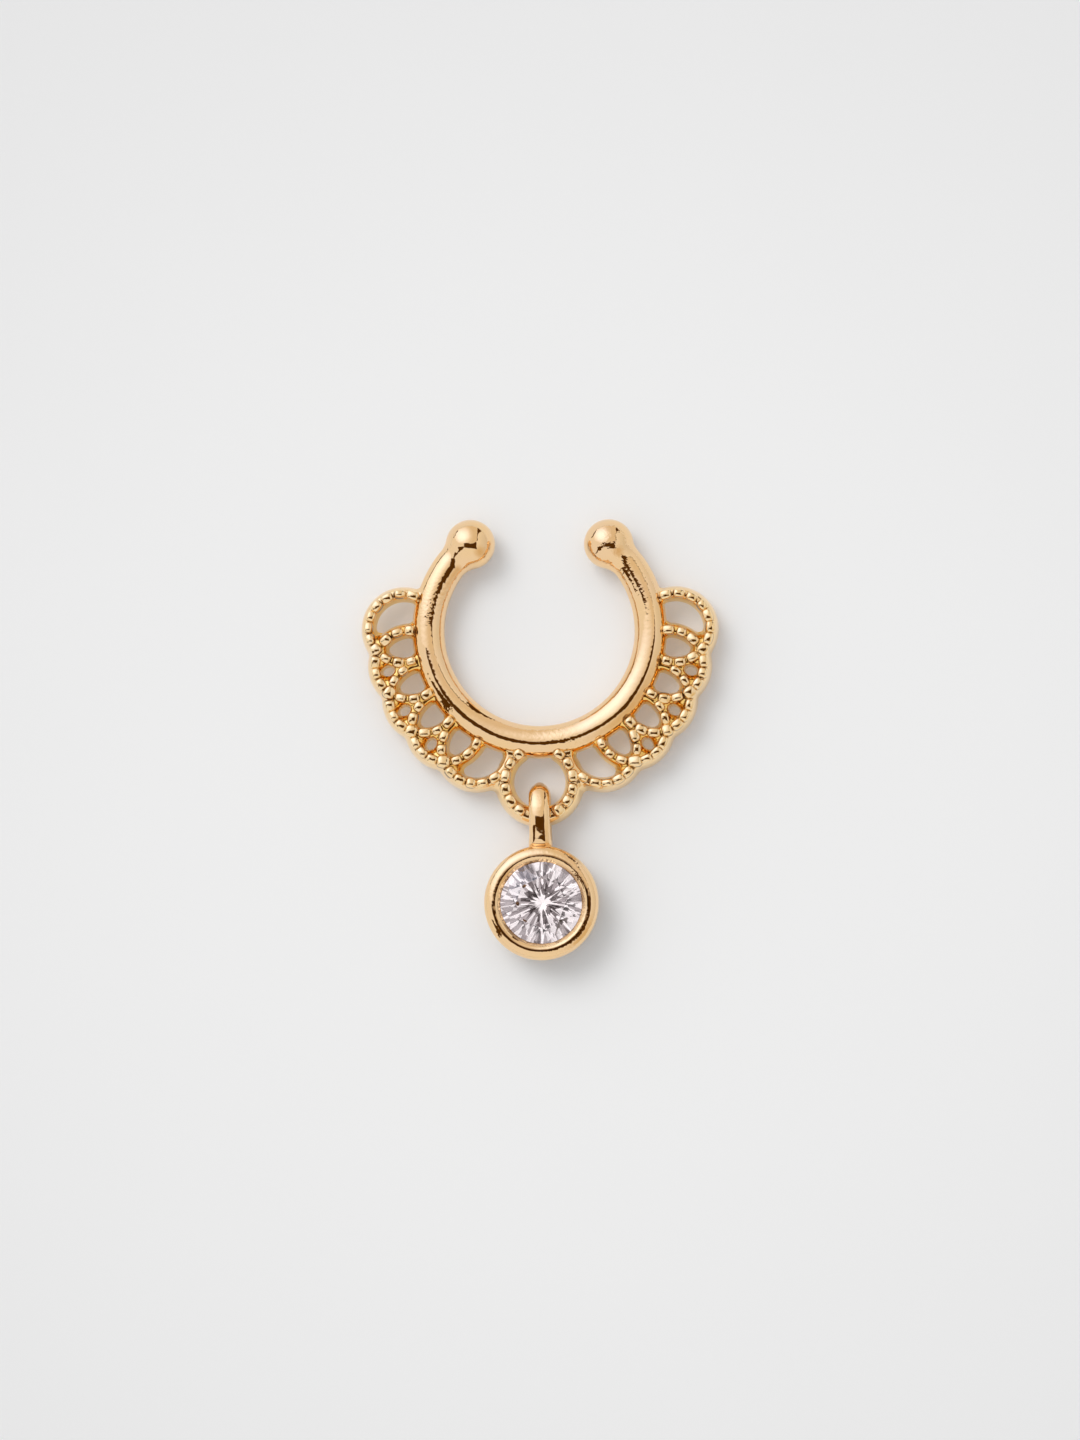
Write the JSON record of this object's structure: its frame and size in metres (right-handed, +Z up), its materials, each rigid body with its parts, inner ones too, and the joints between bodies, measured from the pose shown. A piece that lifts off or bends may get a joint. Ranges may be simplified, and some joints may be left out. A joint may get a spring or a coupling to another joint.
{
  "type": "clip-on septum ring",
  "caption": "Open septum ring with ball ends, a pierced lace border edged with milgrain beads, and a bezel-set round stone hanging from a small loop.",
  "frame": {"origin": "centre of the object's box on the surface that it lies on", "axes": "+Y from the drop towards the ball ends, +X across the ring, +Z up out of the front face"},
  "size_m": [0.015, 0.0186, 0.0025],
  "materials": {
    "gold_plate": "polished warm gold plate over cast brass",
    "gold_plate_drop": "polished warm gold plate over cast brass, smooth",
    "clear_stone": "clear faceted stone, polished"
  },
  "bodies": {
    "root": {"lace_ring": "gold_plate", "drop_setting": "gold_plate_drop", "stone": "clear_stone"}
  },
  "joints": []
}
